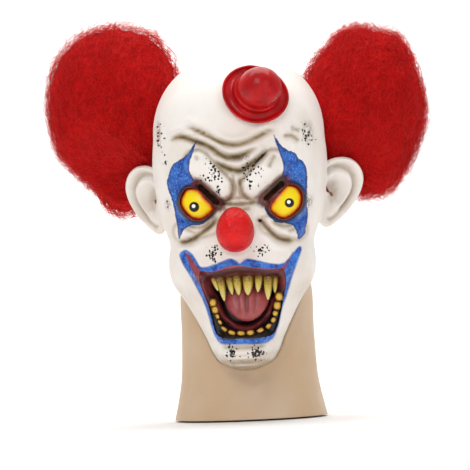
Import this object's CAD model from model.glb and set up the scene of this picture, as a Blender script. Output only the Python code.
import math
import time

import bmesh
import bpy
import numpy as np
from mathutils import Matrix, Vector


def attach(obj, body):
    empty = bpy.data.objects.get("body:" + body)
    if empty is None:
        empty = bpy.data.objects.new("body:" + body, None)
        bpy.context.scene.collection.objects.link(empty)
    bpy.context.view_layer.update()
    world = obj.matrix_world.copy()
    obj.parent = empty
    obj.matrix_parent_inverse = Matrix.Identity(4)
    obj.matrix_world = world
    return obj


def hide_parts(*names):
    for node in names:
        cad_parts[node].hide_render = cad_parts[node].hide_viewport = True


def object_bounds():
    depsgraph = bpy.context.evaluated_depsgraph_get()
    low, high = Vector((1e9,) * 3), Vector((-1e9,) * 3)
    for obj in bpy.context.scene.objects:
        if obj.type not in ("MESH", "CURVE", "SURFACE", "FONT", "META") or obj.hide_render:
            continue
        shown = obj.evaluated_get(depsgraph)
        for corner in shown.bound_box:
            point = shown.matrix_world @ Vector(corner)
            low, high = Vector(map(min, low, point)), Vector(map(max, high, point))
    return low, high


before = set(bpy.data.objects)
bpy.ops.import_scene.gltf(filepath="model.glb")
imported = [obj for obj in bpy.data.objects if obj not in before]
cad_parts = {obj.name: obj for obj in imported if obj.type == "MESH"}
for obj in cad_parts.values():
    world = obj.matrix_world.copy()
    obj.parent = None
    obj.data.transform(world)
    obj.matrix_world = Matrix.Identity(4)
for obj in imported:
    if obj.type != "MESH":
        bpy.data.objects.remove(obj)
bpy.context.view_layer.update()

mm = 0.001
began = time.time()


def tell(stage, count=""):
    print(f"{stage} {count} ({time.time() - began:.0f} s)")


# ---- camera, floor and light ----

studio = {
    "distance": 5.0,            # long lens, so the face keeps its drawn proportions
    "frameWidth": 0.517,        # what the picture spans at the head's middle
    "azimuth": 2.6,             # the face looks a little to the left of the lens
    "roll": 2.5,                # the head is tipped a little
    "target": (-0.009, 0.0, -0.1958),
    "floorDrop": 0.002,
    "floorColor": "F6F5F3",
    # energy, size, place, what it points at
    "lights": {
        "key": (15.5, 1.2, (-0.65, -2.2, 1.25), (0, 0, -0.12)),
        "spark": (4.0, 0.16, (-0.30, -2.4, 0.75), (0, 0, -0.16)),
        "fill": (7.0, 1.6, (1.6, -2.2, 0.3), (0, 0, -0.15)),
        "low": (2.0, 1.6, (0.0, -2.2, -0.25), (0, 0, -0.2)),
        "top": (1.2, 1.4, (0.1, 0.1, 1.9), (0, 0, -0.1)),
        "wall": (75.0, 2.6, (0.0, 0.9, 2.0), (0, 2.2, 0.1)),
    },
    "sky": 0.42,
}


def linearColor(hexText):
    # sRGB hex to the linear values that shaders take
    values = [int(hexText[i:i + 2], 16) / 255 for i in (0, 2, 4)]
    return [v / 12.92 if v <= 0.04045 else ((v + 0.055) / 1.055) ** 2.4 for v in values] + [1.0]


nodeKinds = {
    # kind: settings that each such node has here, the sockets that its inputs go to in turn, the output taken
    "Attribute": ({}, (), "Fac"),
    "Bump": ({}, ("Height", "Distance", "Strength", "Normal"), 0),
    "MapRange": ({"interpolation_type": "SMOOTHSTEP"}, (0, 1, 2), 0),
    "Mapping": ({}, ("Vector", "Scale"), 0),
    "Mix": ({"data_type": "RGBA"}, (0, 6, 7), 2),
    "TexCoord": ({}, (), "Object"),
    "TexNoise": ({}, ("Vector", "Scale", "Detail", "Roughness", "Distortion"), "Fac"),
    "TexVoronoi": ({}, ("Vector", "Scale"), "Distance"),
}


def addNode(tree, kind, inputs=(), output=None, stops=(), **settings):
    # one node: each input is a value, an sRGB hex or the socket that feeds it; gives back one output socket
    shared, sockets, usual = nodeKinds.get(kind, ({}, (0, 1, 2), 0))
    node = tree.nodes.new("ShaderNode" + kind)
    for name, value in {**shared, **settings}.items():
        setattr(node, name, value)
    for socket, value in zip(sockets, inputs):
        if isinstance(value, bpy.types.NodeSocket):
            tree.links.new(value, node.inputs[socket])
        else:
            node.inputs[socket].default_value = linearColor(value) if isinstance(value, str) else value
    for i, (place, value) in enumerate(stops):
        if i >= len(node.color_ramp.elements):
            node.color_ramp.elements.new(1.0)
        node.color_ramp.elements[i].position = place
        node.color_ramp.elements[i].color = linearColor(value)
    return node.outputs[usual if output is None else output]


def newMaterial(name, fixed):
    # fixed: the shader's values that are the same all over the surface
    material = bpy.data.materials.new(name)
    material.use_nodes = True
    tree = material.node_tree
    shader = tree.nodes["Principled BSDF"]
    for socket, value in fixed.items():
        shader.inputs[socket].default_value = value
    return material, tree, shader


def finishPiece(name, mesh, material, nodes, sharp=35):
    piece = bpy.data.objects.new(name, mesh)
    bpy.context.scene.collection.objects.link(piece)
    mesh.materials.clear()
    mesh.materials.append(material)
    mesh.shade_smooth()
    if sharp:
        mesh.set_sharp_from_angle(angle=math.radians(sharp))
    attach(piece, "root")
    if nodes:
        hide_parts(*nodes)
    return piece


def meshFrom(bm, name):
    bmesh.ops.recalc_face_normals(bm, faces=bm.faces)
    if bm.calc_volume(signed=True) < 0:
        bmesh.ops.reverse_faces(bm, faces=bm.faces)
    mesh = bpy.data.meshes.new(name)
    bm.to_mesh(mesh)
    bm.free()
    return mesh


def readPoints(mesh):
    points = np.empty(len(mesh.vertices) * 3)
    mesh.vertices.foreach_get("co", points)
    return points.reshape(-1, 3)


def writePoints(mesh, points):
    mesh.vertices.foreach_set("co", np.ascontiguousarray(points, float).ravel())
    mesh.update()


def storeValues(mesh, name, values):
    layer = mesh.attributes.new(name, "FLOAT", "POINT")
    layer.data.foreach_set("value", np.asarray(values, float).ravel())


def carve(mesh, cutters, name):
    # joins or cuts closed meshes: cutters are (operation, mesh)
    base = bpy.data.objects.new(name, mesh)
    bpy.context.scene.collection.objects.link(base)
    helpers = [base]
    for operation, cutter in cutters:
        helper = bpy.data.objects.new(name + "Cutter", cutter)
        bpy.context.scene.collection.objects.link(helper)
        helpers.append(helper)
        tool = base.modifiers.new(operation, "BOOLEAN")
        tool.operation = operation
        tool.object = helper
        tool.solver = "MANIFOLD"
    bpy.context.view_layer.update()
    graph = bpy.context.evaluated_depsgraph_get()
    result = bpy.data.meshes.new_from_object(base.evaluated_get(graph), depsgraph=graph)
    for helper in helpers:
        bpy.data.objects.remove(helper, do_unlink=True)
    return result


def ease(low, high, value):
    t = np.clip((value - low) / (high - low), 0, 1)
    return t * t * (3 - 2 * t)


def hump(distance, width):
    return np.exp(-((distance / width) ** 2))


def roundMax(a, b, blend):
    return 0.5 * (a + b + np.sqrt((a - b) ** 2 + blend**2))


def readCurve(rows, x):
    rows = np.array(sorted(rows), float)
    knots, values = rows[:, 0], rows[:, 1:]
    slopes = np.gradient(values, knots, axis=0)
    x = np.clip(np.asarray(x, float), knots[0], knots[-1])
    low = np.clip(np.searchsorted(knots, x, side="right") - 1, 0, len(knots) - 2)
    span = knots[low + 1] - knots[low]
    t = ((x - knots[low]) / span)[..., None]
    span = span[..., None]
    return (values[low] * (1 + 2 * t) * (1 - t) ** 2 + values[low + 1] * t**2 * (3 - 2 * t)
            + span * slopes[low] * t * (1 - t) ** 2 + span * slopes[low + 1] * t**2 * (t - 1))


def lineThrough(points, perSpan=5, closed=False):
    p = np.array(points, float)
    around = np.vstack([p[-1:], p, p[:2]]) if closed else np.vstack([2 * p[0] - p[1], p, 2 * p[-1] - p[-2]])
    t = np.linspace(0, 1, perSpan, endpoint=False)[:, None]
    found = []
    for i in range(len(p) if closed else len(p) - 1):
        a, b, c, d = around[i:i + 4]
        found.append(0.5 * (2 * b + (c - a) * t + (2 * a - 5 * b + 4 * c - d) * t**2
                            + (3 * b - a - 3 * c + d) * t**3))
    found = np.vstack(found)
    return found if closed else np.vstack([found, p[-1:]])


def distanceTo(line, x, z, closed=False, margin=0.03):
    # distance to a line and the share of the way along it, worked out only near the line
    ends = np.vstack([line[1:], line[:1]]) if closed else line[1:]
    starts = line if closed else line[:-1]
    far = np.full(x.shape, 1.0)
    along = np.zeros(x.shape)
    low, high = line.min(axis=0) - margin, line.max(axis=0) + margin
    near = (x > low[0]) & (x < high[0]) & (z > low[1]) & (z < high[1])
    nx, nz = x[near], z[near]
    best = np.full(nx.shape, 1.0)
    where = np.zeros(nx.shape)
    for i, (a, b) in enumerate(zip(starts, ends)):
        d = b - a
        t = np.clip(((nx - a[0]) * d[0] + (nz - a[1]) * d[1]) / max(d @ d, 1e-12), 0, 1)
        gap = np.hypot(nx - a[0] - t * d[0], nz - a[1] - t * d[1])
        where = np.where(gap < best, (i + t) / len(starts), where)
        best = np.minimum(best, gap)
    far[near] = best
    along[near] = where
    return far, along


def insideOf(line, x, z):
    # distance to a closed outline, positive inside it
    found = np.zeros(x.shape, bool)
    for a, b in zip(line, np.vstack([line[1:], line[:1]])):
        rise = b[1] - a[1] if b[1] != a[1] else 1e-12
        found ^= ((a[1] > z) != (b[1] > z)) & (x < (b[0] - a[0]) * (z - a[1]) / rise + a[0])
    far, _ = distanceTo(line, x, z, closed=True)
    return np.where(found, far, -far)


# ---- the head's form; places on the face are millimetres across and up from the eye line ----

head = {
    "halfWidth": 100.0, "halfHeight": 200.0, "halfDepth": 110.0, "eyeDrop": 171.0, "wall": 3.0,
    "crownSpring": 0.40, "crownPower": 2.2, "faceSquare": 0.07,
    "columnsFace": 196, "columnsNape": 60,
    "foldDepth": 6.0, "foldWidth": 2.8, "lobeHeight": 11.5, "socketDepth": 5.0,
    "lipHeight": 5.0, "lipWidth": 5.0, "chinHeight": 6.0,
    # up, half width, front, back, as shares of the sizes above
    "skull": (
        (0.40, 0.94, 0.97, 0.98), (0.25, 0.96, 0.99, 0.99), (0.10, 0.93, 0.99, 0.95), (0.00, 0.90, 0.98,
            0.90),
        (-0.15, 0.79, 0.98, 0.81), (-0.30, 0.68, 0.96, 0.74), (-0.45, 0.58, 0.84, 0.69), (-0.60, 0.50, 0.62,
            0.66),
        (-0.80, 0.40, 0.40, 0.60), (-1.15, 0.38, 0.36, 0.58)),
    "jaw": (
        (0.05, 0.48, 0.80, 0.10), (-0.10, 0.66, 0.92, 0.20), (-0.22, 0.78, 1.02, 0.27), (-0.30, 0.80, 1.08,
            0.27),
        (-0.38, 0.77, 1.10, 0.24), (-0.50, 0.62, 1.10, 0.18), (-0.60, 0.51, 1.09, 0.12), (-0.70, 0.41, 1.08,
            0.06),
        (-0.785, 0.335, 1.04, 0.02), (-0.83, 0.26, 0.96, 0.00), (-0.86, 0.14, 0.78, 0.00), (-0.875, 0.06,
            0.42, 0.00),
        (-0.90, 0.03, 0.20, 0.00), (-1.15, 0.03, 0.20, 0.00)),
    "neck": (
        (0.05, 0.30, 0.20, 0.52), (-0.20, 0.60, 0.36, 0.66), (-0.40, 0.71, 0.44, 0.70), (-0.70, 0.73, 0.47,
            0.70),
        (-0.95, 0.76, 0.51, 0.73), (-1.145, 0.84, 0.58, 0.79)),
}
crownTop = head["eyeDrop"] / head["halfHeight"]
hem = -(2 * head["halfHeight"] - head["eyeDrop"]) / head["halfHeight"]
eyeLine = (head["wall"] - head["eyeDrop"]) * mm

# creases: depth, width, then the places along them
creases = (
    (0.9, 1.0, ((-64, 89), (-50, 90), (-40, 86), (-30, 81), (-20, 75), (-11, 71), (0, 69), (11, 71), (23,
        76), (31, 80),
                (40, 84), (48, 88))),
    (1.1, 1.1, ((-74, 74), (-69, 78), (-61, 81), (-53, 79), (-43, 75), (-33, 71), (-24, 66), (-17, 60), (-9,
        56),
                (0, 56), (9, 58), (21, 64), (33, 67))),
    (1.1, 1.1, ((-26, 58), (-19, 50), (-11, 45), (-3, 42), (6, 41), (14, 46), (24, 52), (33, 59), (38, 65))),
    (0.7, 0.9, ((49, 77), (59, 77), (64, 75), (70, 69))),
    (0.6, 0.8, ((44, 58), (39, 50), (35, 41))),
    (0.5, 0.8, ((-44, 60), (-40, 53))),
    (0.6, 0.8, ((59, 86), (65, 84), (71, 80))),
    (1.1, 1.2, ((-22, -6), (-28, -15), (-40, -24), (-50, -30), (-60, -33), (-72, -31))),
    (1.1, 1.2, ((15, -12), (24, -14), (30, -21), (37, -29), (44, -34), (53, -36), (62, -37))),
    (0.9, 0.9, ((-24, 8), (-10, 6), (2, 5), (14, 6), (24, 9))),
    (0.6, 0.7, ((-17, 13), (-6, 12), (5, 12), (14, 14))),
    (0.6, 0.7, ((-20, 1), (-8, -1), (6, -1), (18, 2))),
    (0.6, 0.8, ((-66, -4), (-58, -13), (-46, -18), (-34, -16), (-28, -9))),
    (0.6, 0.8, ((72, -4), (66, -14), (54, -20), (42, -18), (33, -11))),
    (0.5, 0.8, ((-62, -14), (-54, -21), (-43, -25))),
    (0.5, 0.8, ((70, -15), (62, -23), (50, -27))),
    (0.6, 0.9, ((-28, -147), (-10, -149), (10, -149), (30, -147))),
    (0.5, 0.8, ((-31, -160), (-14, -166), (12, -166), (29, -158))),
    (0.5, 0.7, ((-4, 40), (-3, 30), (-2, 18))),
    (0.8, 0.8, ((-24, 12), (-16, 9), (-9, 11), (-5, 17), (-4, 26), (-6, 36))),
    (0.8, 0.8, ((5, 36), (4, 27), (6, 18), (11, 11), (22, 10))),
)
# rounded lobes: height share, start, end, radii
lobes = (
    (1.0, (-42, 50), (-14, 22), 15, 12),
    (1.0, (42, 47), (15, 22), 15, 12),
    (0.5, (-30, -17), (-62, -22), 9, 10),
    (0.5, (32, -18), (62, -25), 9, 10),
    (0.6, (-4, -12), (-4, -28), 20, 26),
    (0.25, (0, 26), (0, 44), 6, 8),
)
# grooves up from the mouth's corners
mouthCorners = (((-42, -68), (-59, -45)), ((46, -68), (60, -47)))

eyes = {
    "radius": 26.0, "bulge": 5.0, "turn": 16.0, "lid": 2.4, "wall": 1.6, "sightGap": 6.0,
    "places": {"left": (-45, 7), "right": (52, 5.6)},
    "edges": {
        "left": ((-63, 11), (-56, 24), (-43, 24), (-36, 16), (-26, 3), (-30, -4), (-40, -10), (-51, -8),
                 (-59, 0)),
        "right": ((34, 1), (50, 21), (59, 24), (67, 19), (70, 9), (66, -3), (51, -13), (40, -9)),
    },
    "sights": {"left": ((-42, 27.6), (-20.5, 6)), "right": ((50, 27), (28.5, 8.4))},
    "pupils": {"left": (-47, 4.3, 5.0), "right": (55.7, 4.3, 4.5)},
}

mouth = {
    "edge": (
        (-43, -65), (-30, -67), (-15, -64), (0, -62.4), (15, -64.4), (30, -67), (45, -66), (49, -77), (46,
            -94),
        (41, -115), (36, -130), (28, -138), (2, -139.6), (-22, -138), (-30, -130), (-33, -115), (-38, -96),
        (-44, -78)),
    "centre": (3, -100),
    "depth": 30.0, "wall": 2.0, "flange": 3.0, "gumHeight": 15.0,
    "floorRim": ((-27, -101), (-19, -116), (-9, -125), (3, -128), (14, -125), (25, -116), (32, -99)),
    "upperGum": ((-40, -74), (-24, -69), (0, -67), (24, -69), (42, -74)),
    "lowerGum": ((41.5, -92), (36.5, -110), (30.5, -125), (16, -132.4), (-4, -133.6), (-19, -130), (-26.5,
        -116),
                 (-32, -96)),
}


def faceLine(points, **options):
    return lineThrough(points, **options) * mm + np.array([0, eyeLine])


def ovalReach(width, front, back, turn):
    centre = (back - front) / 2
    half = (back + front) / 2
    east, south = np.sin(turn), np.cos(turn)
    a = (east / width) ** 2 + (south / half) ** 2
    b = 2 * south * centre / half**2
    c = (centre / half) ** 2 - 1
    root = b * b - 4 * a * c
    return np.where(root > 0, (-b + np.sqrt(np.maximum(root, 0))) / (2 * a), 0)


def baseReach(turn, up):
    t = np.clip((up - head["crownSpring"]) / (crownTop - head["crownSpring"]), 0, 1)
    dome = (1 - t ** head["crownPower"]) ** (1 / head["crownPower"])
    sizes = [head[key] * mm for key in ("halfWidth", "halfDepth", "halfDepth")]
    skull, jaw, neck = [[readCurve(head[part], up)[..., i] * sizes[i] for i in range(3)]
                        for part in ("skull", "jaw", "neck")]
    reach = ovalReach(skull[0] * dome, skull[1] * dome, skull[2] * dome, turn)
    corner = np.sin(2 * turn) ** 2 * ease(0.0, 0.25, np.cos(turn)) * ease(0.80, 0.45, up) * ease(-0.45,
        -0.20, up)
    reach = reach * (1 + head["faceSquare"] * corner)
    below = ease(0.12, 0.0, up)
    blend = 0.05 * sizes[0] * below
    reach = np.where(up < 0.12, roundMax(reach, ovalReach(*jaw, turn) * below, blend), reach)
    return np.where(up < 0.12, roundMax(reach, ovalReach(*neck, turn) * below, blend), reach)


def plainFront(x, z):
    # where the plain head's front lies at places on the face
    x, z = np.atleast_1d(np.asarray(x, float)), np.atleast_1d(np.asarray(z, float))
    turns = np.linspace(-1.3, 1.3, 261)
    ups = np.linspace(-0.9, 0.75, 331)
    if "front" not in head:
        grid = baseReach(np.broadcast_to(turns, (331, 261)), np.broadcast_to(ups[:, None], (331, 261)))
        steps = np.linspace(-0.098, 0.098, 197)
        rows = []
        for reach in grid:
            xs, ys = reach * np.sin(turns), -reach * np.cos(turns)
            order = np.argsort(xs)
            rows.append(np.interp(steps, xs[order], ys[order]))
        head["front"] = (steps, np.array(rows))
    steps, rows = head["front"]
    u = np.clip((x - steps[0]) / (steps[1] - steps[0]), 0, len(steps) - 1.001)
    v = np.clip(((z - eyeLine) / (head["halfHeight"] * mm) - ups[0]) / (ups[1] - ups[0]), 0, len(ups) - 1.001)
    i, j = v.astype(int), u.astype(int)
    fv, fu = v - i, u - j
    return ((rows[i, j] * (1 - fu) + rows[i, j + 1] * fu) * (1 - fv)
            + (rows[i + 1, j] * (1 - fu) + rows[i + 1, j + 1] * fu) * fv)


def eyeCentre(name):
    x, z = eyes["places"][name]
    x, z = x * mm, eyeLine + z * mm
    turn = math.radians(eyes["turn"]) * (-1 if x < 0 else 1)
    sunk = (eyes["radius"] - eyes["bulge"]) * mm
    return Vector((x - sunk * math.sin(turn), float(plainFront(x, z)[0]) + sunk * math.cos(turn), z))


def relief(x, y, z, fine):
    # how far the face stands forward of the plain head, in metres; fine adds the creases
    out = np.zeros(x.shape)
    for height, start, end, first, last in lobes:
        line = np.array([start, end]) * mm + np.array([0, eyeLine])
        far, along = distanceTo(line, x, z)
        radius = (first + (last - first) * along) * mm
        out += height * head["lobeHeight"] * mm * np.sqrt(np.clip(1 - (far / radius) ** 2, 0, 1)) ** 1.3
    radius = eyes["radius"] * mm
    lid = eyes["lid"] * mm
    for name in eyes["places"]:
        centre = eyeCentre(name)
        far = np.hypot(x - centre.x, z - centre.z)
        out -= head["socketDepth"] * mm * (1 - ease(0.8, 1.5, far / radius))
        over = y - centre.y + np.sqrt(np.maximum((radius + lid) ** 2 - far**2, 0))
        out = np.where(far < radius + lid, roundMax(out, over, 0.5 * lid), out)
    edge = faceLine(mouth["edge"], closed=True)
    within = insideOf(edge, x, z)
    lip = head["lipHeight"] * mm
    out += lip * hump(within, 1.6 * head["lipWidth"] * mm)
    for corner in mouthCorners:
        far, _ = distanceTo(np.array(corner) * mm + np.array([0, eyeLine]), x, z)
        out += 0.7 * lip * hump(far - head["lipWidth"] * mm, head["lipWidth"] * mm)
    out += head["chinHeight"] * mm * hump(x - 1 * mm, 24 * mm) * hump(z - eyeLine + 160 * mm, 14 * mm)
    if fine:
        for depth, width, points in creases:
            far, along = distanceTo(faceLine(points), x, z)
            wide = width * head["foldWidth"] * mm
            fade = ease(0, 0.15, along) * ease(1, 0.85, along)
            out += depth * head["foldDepth"] * mm * fade * (0.55 * hump(far - 2.4 * wide, 1.4 * wide)
                                                            - 0.45 * hump(far, wide))
        out -= 0.007 * ease(0.0, 0.004, within) ** 1.5      # the lips roll in to the mouth
    return out


def faceFront(x, z):
    y = plainFront(x, z)
    return y - relief(np.atleast_1d(np.asarray(x, float)), y, np.atleast_1d(np.asarray(z, float)), False)


def headShell(inset, fine, rowStep):
    # a meridian spun round, then every point carried to its place on the head
    rise = crownTop - head["crownSpring"]
    crown = head["crownSpring"] + rise * np.sin(np.linspace(math.radians(88.5), 0,
                                                            int(60 / rowStep))) ** (2 / 2.2)
    face = np.arange(head["crownSpring"], -0.80, -0.0062 * rowStep)[1:]
    chin = np.linspace(-0.80, -0.90, int(30 / rowStep))[1:]
    neck = np.linspace(-0.90, hem, int(36 / rowStep))[1:]
    ups = np.concatenate([crown, face, chin, neck])
    faceTurns = np.linspace(-82, 82, int(head["columnsFace"] / rowStep))
    napeTurns = np.linspace(82, 278, int(head["columnsNape"] / rowStep))[1:-1]
    turns = np.radians(np.concatenate([faceTurns, napeTurns]))
    columns = len(turns)
    bm = bmesh.new()
    line = [bm.verts.new((1, 0, i * 0.01)) for i in range(len(ups))]
    edges = [bm.edges.new(pair) for pair in zip(line, line[1:])]
    bmesh.ops.spin(bm, geom=line + edges, cent=(0, 0, 0), axis=(0, 0, 1), angle=2 * math.pi, steps=columns,
                   use_merge=True)
    bmesh.ops.remove_doubles(bm, verts=bm.verts, dist=1e-5)
    rims = [edge for edge in bm.edges if edge.is_boundary]
    bmesh.ops.holes_fill(bm, edges=rims, sides=0)
    mesh = meshFrom(bm, "headShell")
    points = readPoints(mesh)
    column = np.round(np.arctan2(points[:, 1], points[:, 0]) / (2 * math.pi) * columns).astype(int) % columns
    row = np.clip(np.round(points[:, 2] / 0.01).astype(int), 0, len(ups) - 1)
    turn, up = np.meshgrid(turns, ups)
    reach = baseReach(turn, up)
    plain = np.stack([reach * np.sin(turn), -reach * np.cos(turn), eyeLine + up * head["halfHeight"] * mm],
                     axis=-1)
    front = ease(0.25, 0.55, np.cos(turn)) * ease(0.62, 0.50, up)
    grid = plain.copy()
    shown = front > 0
    grid[..., 1][shown] -= front[shown] * relief(plain[..., 0][shown], plain[..., 1][shown], plain[...,
        2][shown], fine)
    if inset:
        around = np.roll(plain, -1, axis=1) - np.roll(plain, 1, axis=1)
        normal = np.cross(around, np.gradient(plain, axis=0))
        normal /= np.linalg.norm(normal, axis=-1, keepdims=True)
        grid -= inset * np.sign((normal[..., :2] * plain[..., :2]).sum()) * normal
        grid[-1, :, 2] -= 0.01
    writePoints(mesh, grid[row, column])
    bm = bmesh.new()
    bm.from_mesh(mesh)
    return meshFrom(bm, "headShell")


# ---- ears ----

ears = {
    "halfHeight": 40.0, "roll": 4.5, "back": 7.5, "centreOut": 12.0,
    # hair comes forward again by this much for each ear's width beyond the rim, and is pressed back so far at most
    "hairSlope": 45.0, "hairShift": 60.0,
    "root": (0.93, 0.02, 15.0),      # share of the half width, share of the half depth, mm above the eye line
    "sweep": {"left": (-1, 47.0), "right": (1, 39.0)},
    "canal": {"left": (-8.0, 1.0), "right": (-3.0, 1.0)},
    # degrees round the concha, radius share
    "outline": ((-180, 0.55), (-135, 0.85), (-112, 1.08), (-90, 0.86), (-65, 0.70), (-40, 0.68), (-20, 0.73),
                (0, 0.88), (25, 1.10), (42, 1.13), (61, 1.07), (80, 0.97), (100, 0.90), (135, 0.70), (180,
                    0.55)),
    # share out from the concha, height share
    "relief": ((0.0, -2.6), (0.25, -2.5), (0.42, -1.0), (0.54, 0.35), (0.62, 0.1), (0.74, -1.35), (0.84, 0.1),
               (0.93, 1.1), (1.0, 0.3)),
}


def earFrame(name):
    # where an ear grows from, the way it stands out and the way it faces
    side, sweep = ears["sweep"][name]
    sweep = math.radians(sweep)
    root = np.array([side * ears["root"][0] * head["halfWidth"] * mm,
                     ears["root"][1] * head["halfDepth"] * mm,
                     eyeLine + ears["root"][2] * mm])
    out = np.array([side * math.cos(sweep), math.sin(sweep), 0])
    facing = np.array([side * math.sin(sweep), -math.cos(sweep), 0])
    return root, out, facing


def earPlaces(name, points):
    # across and up from the concha's middle in mm, share of the way to the rim, and how far in front, in mm
    root, out, facing = earFrame(name)
    local = points - root
    across = local @ out / mm - ears["centreOut"]
    up = local[:, 2] / mm
    reach = readCurve(ears["outline"], np.degrees(np.arctan2(up, across)))[..., 0] * ears["halfHeight"]
    return across, up, np.hypot(across, up) / reach, local @ facing / mm


def behindEar(name, points, back):
    # hair that would stand through an ear or before it is pressed to lie behind it
    _, _, facing = earFrame(name)
    _, _, share, ahead = earPlaces(name, points)
    limit = -back + ears["hairSlope"] * np.maximum(share - 1.0, 0)
    return points - facing * (np.clip(ahead - limit, 0, ears["hairShift"]) * mm)[:, None]


def earMesh(name):
    root, out, facing = earFrame(name)
    bm = bmesh.new()
    bmesh.ops.create_uvsphere(bm, u_segments=72, v_segments=52, radius=1.0)
    mesh = meshFrom(bm, "ear")
    x, y, z = readPoints(mesh).T
    angle = np.degrees(np.arctan2(y, x))
    polar = np.arccos(np.clip(z, -1, 1)) / (math.pi / 2)
    reach = readCurve(ears["outline"], angle)[..., 0] * ears["halfHeight"] * mm
    roll = ears["roll"] * mm
    lobe = np.where(angle < 0, ease(-55, -85, angle), 0)
    frontRise = roll * (readCurve(ears["relief"], np.clip(polar, 0, 1))[..., 0] * (1 - 0.75 * lobe)
                        + 0.4 * lobe * (1 - polar))
    backShare = np.sin(np.clip(polar, 1, 2) * math.pi / 2)
    backRise = (-ears["back"] * mm * np.sqrt(np.clip(1 - backShare**2, 0, 1)) - 0.3 * roll
                - 1.2 * roll * (1 - backShare))
    isFront = polar <= 1.0001
    share = np.where(isFront, polar, backShare)
    rise = np.where(isFront, frontRise, backRise)
    a = ears["centreOut"] * mm + share * reach * np.cos(np.radians(angle))
    b = share * reach * np.sin(np.radians(angle))
    points = root + out * a[:, None] + np.array([0, 0, 1.0]) * b[:, None] + facing * rise[:, None]
    writePoints(mesh, points)
    bm = bmesh.new()
    bm.from_mesh(mesh)
    for _ in range(2):
        bmesh.ops.smooth_vert(bm, verts=bm.verts, factor=0.5, use_axis_x=True, use_axis_y=True,
                              use_axis_z=True)
    return meshFrom(bm, "ear")


# ---- painted zones of the skin ----

paint = {
    "bluePatches": (
        ((-38.5, 81), (-44, 73), (-50, 64), (-57, 58), (-63, 55), (-68, 52), (-72, 47), (-75, 38), (-77, 31),
         (-74, 20),
         (-71, 8), (-69, -5), (-67, -20), (-66, -30), (-60, -20), (-53, -16), (-45, -15.5), (-38, -14), (-30,
             -8),
         (-26, 0), (-30, 14), (-42, 29), (-45, 32), (-50, 42), (-50, 50), (-46, 62), (-40, 78)),
        ((42, 80), (48, 68), (55, 62), (65, 57), (67, 52), (72, 48), (75, 40), (75, 25), (74, 5), (74, -10),
         (71, -25),
         (70, -30), (63, -36), (62, -28), (58, -20), (48, -17), (40, -16), (32, -7), (29, 1), (34, 14), (47,
             28),
         (48, 32), (51, 42), (50, 50), (47, 60), (43, 72)),
    ),
    "lipOuter": (
        (-66, -46), (-63, -56), (-54, -71), (-46, -87), (-40, -101), (-36, -116), (-33, -129), (-30, -137),
        (-24, -144),
        (-11, -145), (0, -145), (19, -146), (29, -143), (34, -137), (39, -124), (43, -109), (49, -94), (54,
            -79),
        (60, -63), (66, -47), (64, -43), (58, -49), (52, -56), (47, -60), (40, -61), (29, -59), (19, -56),
        (9, -54),
        (4, -56), (0, -59), (-3, -56), (-9, -53), (-14, -54), (-20, -56), (-29, -59), (-37, -61), (-43, -60),
        (-47, -53), (-52, -46), (-59, -41.5)),
    "lipInner": (
        (-59, -45), (-56, -54), (-50, -67), (-43, -81), (-39, -94), (-36, -101), (-35, -109), (-31, -124),
        (-27, -134),
        (-20, -139), (0, -139.6), (21, -139), (31, -131), (37, -119), (41, -109), (44, -96), (43, -84), (47,
            -70),
        (53, -57), (57, -49), (50, -60), (44, -66), (36, -66), (24, -65), (11, -63), (0, -61), (-11, -61),
        (-23, -65),
        (-34, -67), (-41, -66), (-47, -60), (-53, -50)),
    # black spatter: place, spread, strength
    "spatter": (
        ((-25, 38), (13, 17), 0.95), ((-19, 21), (4, 4), 1.5), ((17, 38), (13, 15), 0.9), ((15, 23), (3.4,
            4.5), 1.5),
        ((-28.6, -47), (9, 12), 1.15), ((23, -46), (10, 7), 1.1), ((-12, -155), (7, 10), 1.35), ((14, -156),
            (9, 9), 1.4),
        ((-84, 84), (5, 14), 0.9), ((-78, 70), (8, 24), 0.4), ((77, 80), (8, 14), 0.9), 
        ((76, 4), (4, 5), 0.9), ((-78, 52), (5, 6), 0.7), ((-76, 10), (4, 5), 0.8), ((-1, 55), (8, 4), 0.35),
        ((-52, 60), (9, 9), 0.4), ((84, 60), (7, 14), 0.35)),
    # brown scuffs: place, spread
    "scuffs": (((78, 80), (5, 11)), ((-84.5, 86), (2.5, 13)), ((77, 6), (3, 5)), ((-77, 8), (3, 5)), ((5,
        55), (10, 3))),
}


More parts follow.
